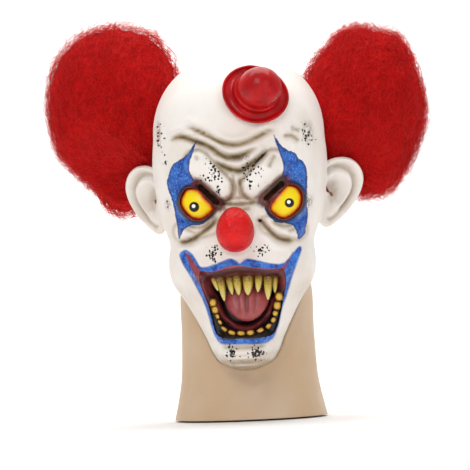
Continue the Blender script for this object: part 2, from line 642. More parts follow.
def paintSkin(mesh):
    points = readPoints(mesh)
    x, y, z = points.T
    normals = np.empty(len(points) * 3)
    mesh.vertices.foreach_get("normal", normals)
    normals = normals.reshape(-1, 3)
    far = np.full(len(points), -50.0)
    front = (normals[:, 1] < 0.35) & (y < 0.02)
    fx, fz = x[front], z[front]

    def field(values):
        found = far.copy()
        found[front] = values
        return found

    blue = np.maximum(*[insideOf(faceLine(patch, perSpan=3, closed=True), fx,
                                 fz) for patch in paint["bluePatches"]])
    storeValues(mesh, "bluePatch", field(blue / mm))
    outer = insideOf(faceLine(paint["lipOuter"], perSpan=3, closed=True), fx, fz)
    inner = insideOf(faceLine(paint["lipInner"], perSpan=3, closed=True), fx, fz)
    storeValues(mesh, "lips", field(np.maximum(outer, inner) / mm))
    storeValues(mesh, "lipsInner", field(inner / mm))
    rim = np.maximum(*[insideOf(faceLine(edge, closed=True), fx, fz) for edge in eyes["edges"].values()])
    storeValues(mesh, "eyeRim", field(rim / mm))
    slots = [distanceTo(np.array(line) * mm + np.array([0, eyeLine]), fx,
                        fz)[0] for line in eyes["sights"].values()]
    storeValues(mesh, "sightEdge", field(-np.minimum(*slots) / mm))
    shade = np.zeros(len(fx))
    for depth, _, line in creases:
        gap, along = distanceTo(faceLine(line), fx, fz)
        fade = ease(0, 0.2, along) * ease(1, 0.8, along)
        shade = np.maximum(shade, depth * fade * (0.48 * hump(gap, 1.9 * mm) + 0.42 * hump(gap, 5.5 * mm)))
    for height, start, end, first, last in lobes[:4]:
        gap, along = distanceTo(np.array([start, end]) * mm + np.array([0, eyeLine]), fx, fz)
        radius = (first + (last - first) * along) * mm
        shade = np.maximum(shade, 0.5 * hump(gap - radius * 1.04, 3.4 * mm) * (0.5 + 0.5 * height))
    soil = np.zeros(len(points))
    soil[front] = shade
    up = (z - eyeLine) / mm
    # where the neck stands clear of the jaw, and the shade where they meet
    turn, share = np.arctan2(x, -y), up / head["halfHeight"]
    ovals = [[readCurve(head[part], share)[..., i] * head[size] * mm for i, size in
              enumerate(("halfWidth", "halfDepth", "halfDepth"))] for part in ("skull", "jaw", "neck")]
    skull, jaw, neck = [ovalReach(*oval, turn) for oval in ovals]
    clear = (neck - np.maximum(jaw, skull)) / mm
    storeValues(mesh, "neckTan", ease(-6.0, 8.0, clear) * ease(-0.12, -0.45, share + 0.002 * clear))
    soil = np.maximum(soil, 0.75 * hump(clear - 2, 5.0) * ease(-0.15, -0.30, share) * ease(0.02, -0.03, y))
    under = np.clip(-normals[:, 2] - 0.15, 0, 1) * ease(-20, -60, up)
    soil = np.maximum(soil, 0.7 * under)
    spatter = np.zeros(len(points))
    for (px, pz), (sx, sz), strength in paint["spatter"]:
        spatter = np.maximum(spatter, strength * hump((x / mm - px) / sx, 1.0) * hump((up - pz) / sz,
            1.0) * (y < 0.03))
    storeValues(mesh, "spatter", spatter * ease(-0.1, -0.4, normals[:, 1]))
    scuff = np.zeros(len(points))
    for (px, pz), (sx, sz) in paint["scuffs"]:
        scuff = np.maximum(scuff, hump((x / mm - px) / sx, 1.0) * hump((up - pz) / sz, 1.0) * (y < 0.03))
    storeValues(mesh, "scuff", scuff)
    canal = np.zeros(len(points))
    for name, (across, high) in ears["canal"].items():
        a, b, share, ahead = earPlaces(name, points)
        _, _, facing = earFrame(name)
        shown = (a > -ears["centreOut"] + 1) & (share < 1.1) & (np.abs(ahead) < 16) & (normals @ facing > 0)
        hollow = 0.42 * hump(share - 0.75, 0.09) + 0.40 * ease(0.50, 0.20, share)
        soil = np.maximum(soil, hollow * shown)
        canal = np.maximum(canal, hump(np.hypot((a - across) / 3.6, (b - high) / 6.4),
                                       1.0) * (np.abs(ahead) < 25))
    storeValues(mesh, "earCanal", canal)
    storeValues(mesh, "soil", soil)


def flatDrops(tree, place, field, spacing, stretch, biggest):
    # round or stretched drops of paint, laid flat on the face; the field says how many and how large
    parts = addNode(tree, "SeparateXYZ", (place,)).node
    wander = addNode(tree, "Math",
        (addNode(tree, "Math", (addNode(tree, "TexNoise", (place, 1000 / 5, 1.0, 0.5)), 0.5),
            operation="SUBTRACT"), 0.0035), operation="MULTIPLY")
    flat = addNode(tree, "CombineXYZ",
        (addNode(tree, "Math", (parts.outputs[0], wander), operation="ADD"),
            addNode(tree, "Math", (parts.outputs[2], stretch), operation="MULTIPLY"))).node
    cells = addNode(tree, "TexVoronoi", (flat.outputs[0], 1000 / spacing), voronoi_dimensions="2D").node
    chance = addNode(tree, "SeparateColor", (cells.outputs["Color"],))
    size = addNode(tree, "Math",
        (addNode(tree, "Math", (addNode(tree, "Math", (field, chance), operation="SUBTRACT"), 0.0),
            operation="MAXIMUM"), biggest), operation="MULTIPLY")
    # no drop outgrows its cell
    size = addNode(tree, "Math", (size, 0.36), operation="MINIMUM")
    return addNode(tree, "MapRange",
        (addNode(tree, "Math", (size, cells.outputs["Distance"]), operation="SUBTRACT"), 0.0, 0.09))


def latexMaterial():
    # slush-cast natural latex, sprayed white and airbrushed: satin and faintly warm, with paint pooled brown
    # in the creases
    material, tree, shader = newMaterial("slushCastLatexAirbrushed", {
        "IOR": 1.5,
        "Specular IOR Level": 0.35,
        "Subsurface Weight": 0.06,
        "Subsurface Radius": (0.006, 0.003, 0.002),
        "Subsurface Scale": 1.0,
    })
    place = addNode(tree, "TexCoord")
    cloud = addNode(tree, "TexNoise", (place, 1000 / 55, 2.0, 0.5))
    grain = addNode(tree, "TexNoise", (place, 1000 / 4.5, 4.0, 0.6))
    color = addNode(tree, "Mix", (addNode(tree, "MapRange", (cloud, 0.35, 0.7)), "F3EDE7", "EAE0D6"))
    color = addNode(tree, "Mix",
        (addNode(tree, "Math", (addNode(tree, "MapRange", (grain, 0.55, 0.8)), 0.2), operation="MULTIPLY"),
            color, "D9CCBC"))
    neckTan = addNode(tree, "Math",
        (addNode(tree, "Attribute", attribute_name="neckTan"),
            addNode(tree, "Math", (0.7, addNode(tree, "Math", (cloud, 0.35), operation="MULTIPLY")),
                operation="ADD")), operation="MULTIPLY", use_clamp=True)
    color = addNode(tree, "Mix", (neckTan, color, "C8A985"))
    rub = addNode(tree, "TexNoise", (place, 1000 / 9, 4.0, 0.6))
    soil = addNode(tree, "Math",
        (addNode(tree, "Attribute", attribute_name="soil"),
            addNode(tree, "Math", (addNode(tree, "Math", (rub, 0.9), operation="MULTIPLY"), 0.5),
                operation="ADD")), operation="MULTIPLY", use_clamp=True)
    color = addNode(tree, "Mix", (addNode(tree, "MapRange", (soil, 0.0, 0.75)), color, "A08A69"))
    color = addNode(tree, "Mix", (addNode(tree, "MapRange", (soil, 0.55, 1.1)), color, "5C4A33"))
    scuff = addNode(tree, "Math",
        (addNode(tree, "Attribute", attribute_name="scuff"),
            addNode(tree, "MapRange", (addNode(tree, "TexNoise", (place, 1000 / 4, 5.0, 0.7)), 0.4, 0.55))),
        operation="MULTIPLY", use_clamp=True)
    color = addNode(tree, "Mix",
        (addNode(tree, "Math", (scuff, 0.75), operation="MULTIPLY"), color, "5E4226"))
    # blue patches: brushed paint, darker at its edge, flecked pale where the sponge lifted it
    ragged = addNode(tree, "Math",
        (addNode(tree, "Math", (addNode(tree, "TexNoise", (place, 1000 / 5, 4.0, 0.6)), 0.5),
            operation="SUBTRACT"), 3.0), operation="MULTIPLY")
    blueField = addNode(tree, "Math", (addNode(tree, "Attribute", attribute_name="bluePatch"), ragged),
        operation="ADD")
    fleck = addNode(tree, "MapRange",
        (addNode(tree, "TexNoise", (place, 1000 / 1.9, 3.0, 0.7)), 0.53, 0.66))
    blueColor = addNode(tree, "Mix",
        (addNode(tree, "MapRange", (addNode(tree, "TexNoise", (place, 1000 / 9, 4.0, 0.65)), 0.3, 0.7)),
            "123B94", "2F74D0"))
    blueColor = addNode(tree, "Mix",
        (addNode(tree, "Math", (fleck, 0.55), operation="MULTIPLY"), blueColor, "8DB6EC"))
    blueColor = addNode(tree, "Mix",
        (addNode(tree, "MapRange", (blueField, 2.6, 0.2)), blueColor, "14357C"))
    color = addNode(tree, "Mix", (addNode(tree, "MapRange", (blueField, -0.45, 0.45)), color, blueColor))
    # eye rims: orange red against the eye, then a soft dark line
    rim = addNode(tree, "Math",
        (addNode(tree, "Attribute", attribute_name="eyeRim"),
            addNode(tree, "Math", (ragged, 0.35), operation="MULTIPLY")), operation="ADD")
    color = addNode(tree, "Mix",
        (addNode(tree, "Math", (addNode(tree, "MapRange", (rim, -6.0, -2.4)), 0.92), operation="MULTIPLY"),
            color, "15100E"))
    color = addNode(tree, "Mix", (addNode(tree, "MapRange", (rim, -1.2, -0.5)), color, "8E2A10"))
    # sight slots: maroon and black worked into their edges
    slot = addNode(tree, "Math",
        (addNode(tree, "Attribute", attribute_name="sightEdge"),
            addNode(tree, "Math", (ragged, 1.6), operation="MULTIPLY")), operation="ADD")
    worked = addNode(tree, "Mix",
        (addNode(tree, "MapRange",
            (addNode(tree, "TexNoise", (place, 1000 / 3.5, 4.0, 0.65)), 0.42, 0.58)), "1C0D0B", "7A2416"))
    color = addNode(tree, "Mix",
        (addNode(tree, "Math", (addNode(tree, "MapRange", (slot, -11.0, -5.0)), 0.94),
            operation="MULTIPLY"), color, worked))
    # lips: airbrushed blue over a wet red inner edge
    lipField = addNode(tree, "Math",
        (addNode(tree, "Attribute", attribute_name="lips"),
            addNode(tree, "Math", (ragged, 0.25), operation="MULTIPLY")), operation="ADD")
    lipColor = addNode(tree, "Mix",
        (addNode(tree, "MapRange", (addNode(tree, "TexNoise", (place, 1000 / 9, 4.0, 0.6)), 0.35, 0.65)),
            "163F98", "3A7AD4"))
    lipColor = addNode(tree, "Mix",
        (addNode(tree, "Math", (fleck, 0.25), operation="MULTIPLY"), lipColor, "8DB6EC"))
    color = addNode(tree, "Mix", (addNode(tree, "MapRange", (lipField, -1.3, 0.9)), color, lipColor))
    redField = addNode(tree, "Math",
        (addNode(tree, "Attribute", attribute_name="lipsInner"),
            addNode(tree, "Math", (ragged, 0.25), operation="MULTIPLY")), operation="ADD")
    height = addNode(tree, "SeparateXYZ", (place,), 2)
    flesh = addNode(tree, "Mix",
        (addNode(tree, "TexNoise", (place, 1000 / 8, 4.0, 0.6)), "7A2B2E", "A85254"))
    flesh = addNode(tree, "Mix",
        (addNode(tree, "MapRange", (height, eyeLine - 0.096, eyeLine - 0.112)), flesh, "151014"))
    color = addNode(tree, "Mix", (addNode(tree, "MapRange", (redField, -1.2, 0.8)), color, flesh))
    # ear canal
    color = addNode(tree, "Mix",
        (addNode(tree, "MapRange", (addNode(tree, "Attribute", attribute_name="earCanal"), 0.3, 0.55)),
            color, "8E3A1E"))
    # black spatter
    spatter = addNode(tree, "Attribute", attribute_name="spatter")
    drops = addNode(tree, "Math",
        (flatDrops(tree, place, spatter, 3.9, 1.0, 1.0),
            flatDrops(tree, place, addNode(tree, "Math", (spatter, 0.1), operation="SUBTRACT"), 3.0, 0.55,
                1.0)), operation="MAXIMUM")
    blot = addNode(tree, "MapRange",
        (addNode(tree, "Math", (spatter, addNode(tree, "TexNoise", (place, 1000 / 4.0, 3.0, 0.6))),
            operation="MULTIPLY"), 0.56, 0.62))
    drops = addNode(tree, "Math", (drops, blot), operation="MAXIMUM")
    color = addNode(tree, "Mix", (drops, color, "171312"))
    tree.links.new(color, shader.inputs["Base Color"])
    wet = addNode(tree, "Math",
        (addNode(tree, "MapRange", (addNode(tree, "Attribute", attribute_name="lips"), -0.5, 1.0)), drops),
        operation="MAXIMUM")
    rough = addNode(tree, "Math",
        (addNode(tree, "Math", (0.42, addNode(tree, "Math", (grain, 0.14), operation="MULTIPLY")),
            operation="ADD"), addNode(tree, "Math", (wet, 0.22), operation="MULTIPLY")),
        operation="SUBTRACT")
    tree.links.new(rough, shader.inputs["Roughness"])
    skinGrain = addNode(tree, "Bump",
        (addNode(tree, "TexNoise", (place, 1000 / 1.8, 4.0, 0.6)), 0.3 * mm, 0.5))
    waves = addNode(tree, "Bump",
        (addNode(tree, "TexNoise", (place, 1000 / 12, 2.0, 0.5)), 0.9 * mm, 0.5, skinGrain))
    tree.links.new(waves, shader.inputs["Normal"])
    return material


def prism(line, front, back, name):
    bm = bmesh.new()
    face = bm.faces.new([bm.verts.new((px, front, pz)) for px, pz in line])
    made = bmesh.ops.extrude_face_region(bm, geom=[face])
    bmesh.ops.translate(bm, vec=(0, back - front, 0),
                        verts=[v for v in made["geom"] if isinstance(v, bmesh.types.BMVert)])
    return meshFrom(bm, name)


def ballMesh(centre, radius, segments, rings):
    bm = bmesh.new()
    bmesh.ops.create_uvsphere(bm, u_segments=segments, v_segments=rings, radius=radius,
                              matrix=Matrix.Translation(centre) @ Matrix.Rotation(math.pi / 2, 4, "X"))
    return meshFrom(bm, "ball")


def sightFrame(name):
    start, end = (Vector((px * mm, 0, eyeLine + pz * mm)) for px, pz in eyes["sights"][name])
    if start.x > end.x:
        start, end = end, start
    along = end - start
    middle = (start + end) / 2 + Vector((0, eyeCentre(name).y - eyes["radius"] * mm, 0))
    return Matrix.Translation(middle) @ Matrix.Rotation(-math.atan2(along.z, along.x), 4, "Y"), along.length


def blockMesh(size, matrix, soft=0.0):
    bm = bmesh.new()
    bmesh.ops.create_cube(bm, size=1.0, matrix=Matrix.Diagonal((*size, 1)))
    if soft:
        bmesh.ops.bevel(bm, geom=[e for e in bm.edges if abs(e.verts[0].co.y - e.verts[1].co.y) > 1e-6],
                        offset=soft,
                        affect="EDGES", segments=4, profile=0.5, material=-1)
    bmesh.ops.transform(bm, matrix=matrix, verts=bm.verts)
    return meshFrom(bm, "block")


def buildSkin():
    outer = headShell(0.0, True, 1)
    inner = headShell(head["wall"] * mm, False, 4)
    cuts = [("UNION", earMesh("left")), ("UNION", earMesh("right")), ("DIFFERENCE", inner)]
    cuts.append(("DIFFERENCE", prism(faceLine(mouth["edge"], closed=True, perSpan=4), -0.2, -0.05,
                                     "mouthCut")))
    for name in eyes["places"]:
        centre = eyeCentre(name)
        cuts.append(("DIFFERENCE", ballMesh(centre, (eyes["radius"] + 0.3) * mm, 64, 40)))
        cuts.append(("DIFFERENCE", prism(faceLine(eyes["edges"][name], closed=True), -0.2, centre.y, "lids")))
        sight, length = sightFrame(name)
        cuts.append(("DIFFERENCE", blockMesh((length, 3 * eyes["radius"] * mm, eyes["sightGap"] * mm), sight,
                                             0.0025)))
    mesh = carve(outer, cuts, "skin")
    bm = bmesh.new()
    bm.from_mesh(mesh)
    bmesh.ops.remove_doubles(bm, verts=bm.verts, dist=0.00002)
    bmesh.ops.dissolve_degenerate(bm, edges=bm.edges, dist=0.00002)
    # the ears flow into the head: the seam is smoothed over a few millimetres
    seam = []
    for vert in bm.verts:
        up = (vert.co.z - eyeLine) / mm
        if -35 < up < 62 and 0.080 < abs(vert.co.x) < 0.104 and -0.02 < vert.co.y < 0.035:
            seam.append(vert)
    for _ in range(5):
        bmesh.ops.smooth_vert(bm, verts=seam, factor=0.5, use_axis_x=True, use_axis_y=True, use_axis_z=True)
    mesh = bpy.data.meshes.new("latexSkin")
    bm.to_mesh(mesh)
    bm.free()
    paintSkin(mesh)
    finishPiece("latexSkin", mesh, latexMaterial(), ["latex_skin"], 60)
    tell("skin, triangles:", sum(len(face.vertices) - 2 for face in mesh.polygons))


# ---- eyes ----

def eyeMaterial(name):
    # vacuum-formed dome painted from outside and lacquered: a wet gloss over flat paint
    material, tree, shader = newMaterial("lacqueredEyeDome" + name.capitalize(), {
        "Roughness": 0.3,
        "Specular IOR Level": 0.3,
        "Coat Weight": 0.12,
        "Coat Roughness": 0.04,
    })
    place = addNode(tree, "TexCoord")
    px, pz, size = eyes["pupils"][name]
    parts = addNode(tree, "SeparateXYZ", (place,)).node

    def ring(cx, cz):
        dx = addNode(tree, "Math", (parts.outputs[0], cx * mm), operation="SUBTRACT")
        dz = addNode(tree, "Math", (parts.outputs[2], eyeLine + cz * mm), operation="SUBTRACT")
        square = addNode(tree, "Math",
            (addNode(tree, "Math", (dx, dx), operation="MULTIPLY"),
                addNode(tree, "Math", (dz, dz), operation="MULTIPLY")), operation="ADD")
        return addNode(tree, "Math", (addNode(tree, "Math", (square,), operation="SQRT"), 1000.0),
            operation="MULTIPLY")

    wobble = addNode(tree, "Math",
        (addNode(tree, "Math", (addNode(tree, "TexNoise", (place, 1000 / 6, 4.0, 0.65)), 0.5),
            operation="SUBTRACT"), 2.6), operation="MULTIPLY")
    inside = addNode(tree, "Math", (addNode(tree, "Attribute", attribute_name="lidGap"), wobble),
        operation="ADD")
    color = addNode(tree, "ValToRGB", (addNode(tree, "Math", (inside, 1 / 10.0), operation="MULTIPLY"),),
        stops=((0.0, "3A0D07"), (0.12, "A3240A"), (0.24, "DC6008"), (0.38, "F0BA04"), (0.6, "F6D806"),
            (1.0, "F8DE0A")))
    away = ring(px, pz)
    color = addNode(tree, "Mix",
        (addNode(tree, "MapRange", (away, size + 1.0, size + 0.1)), color, "4A3208"))
    color = addNode(tree, "Mix",
        (addNode(tree, "MapRange", (away, size + 0.3, size - 0.3)), color, "080607"))
    color = addNode(tree, "Mix",
        (addNode(tree, "MapRange", (ring(px - 0.6, pz + 0.9), 2.3, 1.7)), color, "FBFAF5"))
    veins = addNode(tree, "TexNoise", (place, 1000 / 3.0, 5.0, 0.7, 1.5))
    color = addNode(tree, "Mix",
        (addNode(tree, "Math",
            (addNode(tree, "MapRange", (veins, 0.62, 0.68)),
                addNode(tree, "MapRange", (inside, 9.0, 3.0))), operation="MULTIPLY"), color, "B5700A"))
    tree.links.new(color, shader.inputs["Base Color"])
    tree.links.new(addNode(tree, "Bump",
        (addNode(tree, "TexNoise", (place, 1000 / 6, 2.0, 0.5)), 0.2 * mm, 0.3)), shader.inputs["Normal"])
    return material


def buildEyes():
    for name in eyes["places"]:
        centre = eyeCentre(name)
        radius = eyes["radius"] * mm
        sight, _ = sightFrame(name)
        shell = ballMesh(centre, radius, 96, 64)
        hollow = ballMesh(centre, radius - eyes["wall"] * mm, 48, 32)
        back = blockMesh((3 * radius, 2 * radius, 3 * radius), Matrix.Translation(centre + Vector((0,
            1.05 * radius, 0))))
        trim = blockMesh((4 * radius, 4 * radius, 2 * radius),
                         sight @ Matrix.Translation((0, 0, radius - eyes["sightGap"] / 2 * mm)))
        mesh = carve(shell, [("DIFFERENCE", hollow), ("DIFFERENCE", back), ("DIFFERENCE", trim)], "eye")
        x, _, z = readPoints(mesh).T
        storeValues(mesh, "lidGap", insideOf(faceLine(eyes["edges"][name], closed=True), x, z) / mm)
        finishPiece("eye" + name.capitalize(), mesh, eyeMaterial(name), ["eye_" + name])
    tell("eyes")


# ---- nose ----

nose = {"place": (-3, -22), "width": 41.0, "height": 49.0, "reach": 44.0, "pebble": 3.4}


def glossRedMaterial(name, low, high, pebble, depth):
    # latex dipped in red enamel: high gloss over the cast's fine pebble
    material, tree, shader = newMaterial(name, {
        "Specular IOR Level": 0.12,
        "Coat Weight": 0.35,
        "Coat Roughness": 0.07,
    })
    place = addNode(tree, "TexCoord")
    color = addNode(tree, "Mix",
        (addNode(tree, "MapRange", (addNode(tree, "TexNoise", (place, 1000 / 16, 3.0, 0.5)), 0.3, 0.7)),
            low, high))
    speck = addNode(tree, "MapRange",
        (addNode(tree, "TexNoise", (place, 1000 / 1.6, 2.0, 0.5)), 0.62, 0.72))
    color = addNode(tree, "Mix",
        (addNode(tree, "Math", (speck, 0.4), operation="MULTIPLY"), color, "6A0507"))
    tree.links.new(color, shader.inputs["Base Color"])
    tree.links.new(addNode(tree, "Math",
        (0.36,
            addNode(tree, "Math", (addNode(tree, "TexNoise", (place, 1000 / 9, 3.0, 0.5)), 0.2),
                operation="MULTIPLY")), operation="ADD"), shader.inputs["Roughness"])
    cells = addNode(tree, "TexVoronoi", (place, 1000 / pebble)).node
    rough = addNode(tree, "Bump",
        (addNode(tree, "TexNoise", (place, 1000 / 5, 3.0, 0.6)), 2 * depth * mm, 0.5))
    pebbled = addNode(tree, "Bump", (cells.outputs["Distance"], depth * mm, 0.8, rough))
    tree.links.new(pebbled, shader.inputs["Normal"])
    tree.links.new(pebbled, shader.inputs["Coat Normal"])
    return material


def buildNose():
    px, pz = nose["place"]
    x, z = px * mm, eyeLine + pz * mm
    centre = Vector((x, float(faceFront(x, z)[0]) - 0.20 * nose["reach"] * mm, z))
    bm = bmesh.new()
    bmesh.ops.create_uvsphere(bm, u_segments=96, v_segments=64, radius=1.0)
    for vert in bm.verts:
        fuller = 1 - 0.10 * vert.co.z
        vert.co = (vert.co.x * fuller * nose["width"] / 2 * mm, vert.co.y * nose["reach"] / 2 * mm,
                   vert.co.z * nose["height"] / 2 * mm)
    bmesh.ops.translate(bm, verts=bm.verts, vec=centre)
    mesh = meshFrom(bm, "nose")
    # the glued side stops inside the latex
    mesh = carve(mesh, [("DIFFERENCE", headShell(1.5 * mm, False, 4))], "nose")
    finishPiece("nose", mesh, glossRedMaterial("enamelledLatexNose", "C80508", "E30E10", nose["pebble"], 0.9),
                ["nose"], 50)
    tell("nose")


# ---- bowler hat ----

hat = {
    "place": (23.5, 123), "lean": (0.32, -0.87, 0.36), "crownRadius": 23.5, "crownHeight": 43.0,
    "brimRadius": 34.5,
    "brimCurl": 6.0, "wall": 2.0, "clear": 0.75,
}


def hatFrame():
    px, pz = hat["place"]
    x, z = px * mm, eyeLine + pz * mm
    turn = Vector(hat["lean"]).normalized().to_track_quat("Z", "Y").to_matrix().to_4x4()
    return Matrix.Translation((x, float(faceFront(x, z)[0]), z)) @ turn


def buildHat():
    place = hatFrame()
    bm = bmesh.new()
    radius, height, brim, curl = hat["crownRadius"], hat["crownHeight"], hat["brimRadius"], hat["brimCurl"]
    outline = []
    for i in range(17):
        angle = math.pi / 2 * (1 - i / 16)
        outline.append((radius * math.cos(angle), height * (0.38 + 0.62 * math.sin(angle))))
    outline += [(radius * 1.00, height * 0.30), (radius * 1.005, height * 0.22), (radius * 1.05,
        height * 0.20),
                (radius * 1.06, height * 0.175), (radius * 1.02, height * 0.15), (radius * 1.03,
                    height * 0.08),
                (radius * 1.08, height * 0.03), (0.84 * brim, 0.2), (0.90 * brim, 0.9), (0.95 * brim,
                    0.36 * curl),
                (0.98 * brim, 0.62 * curl), (brim, curl)]
    profile = [bm.verts.new((r * mm, 0, h * mm)) for r, h in outline]
    edges = [bm.edges.new(pair) for pair in zip(profile, profile[1:])]
    bmesh.ops.spin(bm, geom=profile + edges, cent=(0, 0, 0), axis=(0, 0, 1), angle=2 * math.pi, steps=72,
                   use_merge=True)
    bmesh.ops.remove_doubles(bm, verts=bm.verts, dist=1e-5)
    bmesh.ops.recalc_face_normals(bm, faces=bm.faces)
    if sum(face.normal.z * face.calc_area() for face in bm.faces) < 0:
        bmesh.ops.reverse_faces(bm, faces=bm.faces)
    mesh = bpy.data.meshes.new("hat")
    bm.to_mesh(mesh)
    bm.free()
    # the brim is pressed to the brow, as if the hat had been glued on soft
    points = readPoints(mesh)
    turn = np.array(place.to_3x3())
    origin = np.array(place.translation)
    grip = ease(0.55 * radius * mm, radius * mm, np.hypot(points[:, 0], points[:, 1]))
    low, high = np.full(len(points), -0.022), np.full(len(points), 0.022)
    for _ in range(14):
        middle = (low + high) / 2
        at = np.column_stack([points[:, 0], points[:, 1], middle]) @ turn.T + origin
        behind = at[:, 1] > faceFront(at[:, 0], at[:, 2])
        low, high = np.where(behind, middle, low), np.where(behind, high, middle)
    points[:, 2] += (hat["wall"] + hat["clear"]) * mm + grip * middle - 0.5 * (1 - grip) * curl * mm
    writePoints(mesh, points @ turn.T + origin)
    piece = finishPiece("bowlerHat", mesh, glossRedMaterial("enamelledLatexHat", "A00208", "C2060E", 1.6,
                                                            0.10),
                        ["bowler_hat"], 50)
    thick = piece.modifiers.new("wall", "SOLIDIFY")
    thick.thickness = hat["wall"] * mm
    thick.offset = -1
    soft = piece.modifiers.new("roundedBrim", "BEVEL")
    soft.width = 0.7 * mm
    soft.segments = 3
    soft.limit_method = "ANGLE"
    soft.angle_limit = math.radians(60)
    tell("hat")


# ---- mouth ----

def mouthRing(share, count):
    line = faceLine(mouth["edge"], closed=True)
    cx, cz = mouth["centre"][0] * mm, eyeLine + mouth["centre"][1] * mm
    angle = np.arctan2(line[:, 1] - cz, line[:, 0] - cx)
    reach = np.hypot(line[:, 0] - cx, line[:, 1] - cz)
    order = np.argsort(angle)
    wanted = np.linspace(-math.pi, math.pi, count, endpoint=False)
    around = np.interp(wanted, angle[order], reach[order], period=2 * math.pi)
    return cx + share * around * np.cos(wanted), cz + share * around * np.sin(wanted)


def pocketDepth(x, z):
    edge = faceLine(mouth["edge"], closed=True)
    far = np.maximum(insideOf(edge, x, z), 0)
    gum = mouth["gumHeight"] * mm
    depth = mouth["depth"] * mm * ease(0, 0.5 * mouth["depth"] * mm, far) + 0.001
    upper, _ = distanceTo(faceLine(mouth["upperGum"]), x, z)
    lower, _ = distanceTo(faceLine(mouth["lowerGum"]), x, z)
    depth -= gum * hump(upper, 0.45 * gum) * ease(0, 0.012, far)
    depth -= 0.8 * gum * hump(lower, 0.40 * gum) * ease(0, 0.012, far)
    ridge, _ = distanceTo(faceLine(mouth["floorRim"]), x, z)
    return depth - 0.006 * hump(ridge, 0.0022)


def liningFront(x, z):
    # where the mouth's lining lies, as in the solid
    x, z = np.atleast_1d(np.asarray(x, float)), np.atleast_1d(np.asarray(z, float))
    cx, cz = mouth["centre"][0] * mm, eyeLine + mouth["centre"][1] * mm
    middle = float(faceFront(cx, cz)[0])
    depth = pocketDepth(x, z)
    share = ease(0, mouth["depth"] * mm, depth)
    rim = faceFront(x, z) + 1.5 * head["wall"] * mm
    return (1 - share) * rim + share * (0.5 * rim + 0.5 * middle) + depth


def gumMaterial():
    # latex painted flesh red under clear gloss, black airbrushed into the depths
    material, tree, shader = newMaterial("glossPaintedGumLatex", {
        "Roughness": 0.32,
        "Specular IOR Level": 0.4,
        "Coat Weight": 0.2,
        "Coat Roughness": 0.12,
    })
    place = addNode(tree, "TexCoord")
    color = addNode(tree, "Mix",
        (addNode(tree, "TexNoise", (place, 1000 / 8, 4.0, 0.6)), "6F2226", "A34B4D"))
    color = addNode(tree, "Mix", (addNode(tree, "Attribute", attribute_name="throat"), color, "120709"))
    color = addNode(tree, "Mix", (addNode(tree, "Attribute", attribute_name="pink"), color, "8E3A3C"))
    tree.links.new(color, shader.inputs["Base Color"])
    tree.links.new(addNode(tree, "Bump",
        (addNode(tree, "TexNoise", (place, 1000 / 3, 4.0, 0.6)), 0.6 * mm, 0.7)), shader.inputs["Normal"])
    return material


def buildLining():
    count = 160
    size = 0.5 * (max(p[0] for p in mouth["edge"]) - min(p[0] for p in mouth["edge"]))
    spread = mouth["flange"] / size
    shares = [1 + spread, 1 + 0.2 * spread] + list(np.linspace(0.985, 0.04, 44))
    bm = bmesh.new()
    line = [bm.verts.new((1 + i, 0, 0)) for i in range(len(shares))]
    edges = [bm.edges.new(pair) for pair in zip(line, line[1:])]
    bmesh.ops.spin(bm, geom=line + edges, cent=(0, 0, 0), axis=(0, 0, 1), angle=2 * math.pi, steps=count,
                   use_merge=True)
    bmesh.ops.remove_doubles(bm, verts=bm.verts, dist=1e-4)
    inner = [edge for edge in bm.edges if edge.is_boundary and edge.verts[0].co.length < 1.5]
    bmesh.ops.holes_fill(bm, edges=inner, sides=0)
    rings = []
    for i, share in enumerate(shares):
        xs, zs = mouthRing(share, count)
        if i < 2:
            ys = faceFront(xs, zs) + 1.5 * head["wall"] * mm + 0.001 * i
        else:
            ys = liningFront(xs, zs)
        rings.append((xs, ys, zs))
    for vert in bm.verts:
        ring = min(len(shares) - 1, max(0, round(math.hypot(vert.co.x, vert.co.y)) - 1))
        column = round((math.atan2(vert.co.y, vert.co.x) + math.pi) / (2 * math.pi) * count) % count
        # the first ring of the spin is the widest opening
        xs, ys, zs = rings[len(shares) - 1 - ring]
        vert.co = (xs[column], ys[column], zs[column])
    bmesh.ops.recalc_face_normals(bm, faces=bm.faces)
    if sum(face.normal.y * face.calc_area() for face in bm.faces) > 0:
        bmesh.ops.reverse_faces(bm, faces=bm.faces)
    mesh = bpy.data.meshes.new("lining")
    bm.to_mesh(mesh)
    bm.free()
    x, _, z = readPoints(mesh).T
    lower, _ = distanceTo(faceLine(mouth["lowerGum"]), x, z)
    ridge, _ = distanceTo(faceLine(mouth["floorRim"]), x, z)
    upper, _ = distanceTo(faceLine(mouth["upperGum"]), x, z)
    dark = np.maximum(ease(0.016, 0.027, pocketDepth(x, z)), 0.92 * hump(lower, 7 * mm))
    dark = np.maximum(dark, 0.8 * hump(upper, 4.5 * mm))
    storeValues(mesh, "throat", np.clip(dark + 0.9 * ease(-0.098, -0.112, z - eyeLine) * (ridge > 0.003), 0,
                                        1))
    storeValues(mesh, "pink", 0.9 * hump(ridge, 2.4 * mm))
    piece = finishPiece("mouthLining", mesh, gumMaterial(), ["mouth_pocket"], 60)
    thick = piece.modifiers.new("wall", "SOLIDIFY")
    thick.thickness = mouth["wall"] * mm
    thick.offset = -1
    tell("mouth lining")


